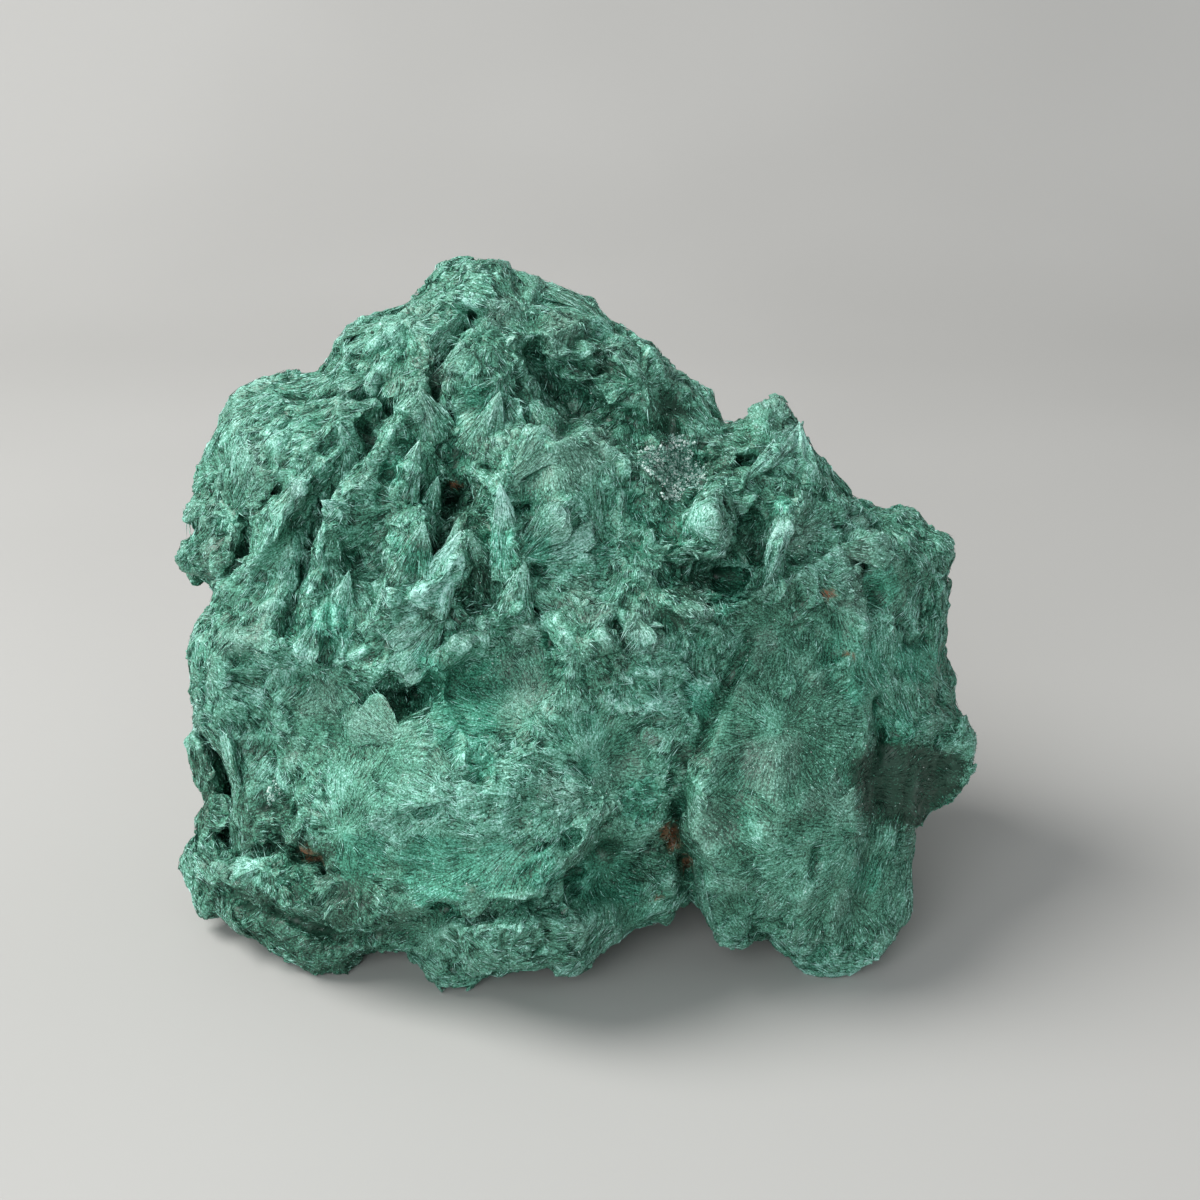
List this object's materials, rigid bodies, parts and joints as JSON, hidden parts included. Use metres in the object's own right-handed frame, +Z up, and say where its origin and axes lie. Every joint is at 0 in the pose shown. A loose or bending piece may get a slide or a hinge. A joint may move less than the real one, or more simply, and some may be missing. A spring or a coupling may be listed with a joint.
{
  "type": "malachite specimen",
  "caption": "Rough lump of fibrous malachite that rests on small flat feet, with a leaning face of ridges, fins and hollows.",
  "frame": {"origin": "centre of the bounding box in plan, on the plane that the feet rest on", "axes": "+X to the right seen from the ridged face, +Y from that face to the back, +Z up"},
  "size_m": [0.1378, 0.1014, 0.1102],
  "materials": {
    "malachite": "silky fibrous malachite, matt to satin, bright green with darker hollows and pale crests"
  },
  "bodies": {
    "root": {"malachite": "malachite"}
  },
  "joints": []
}
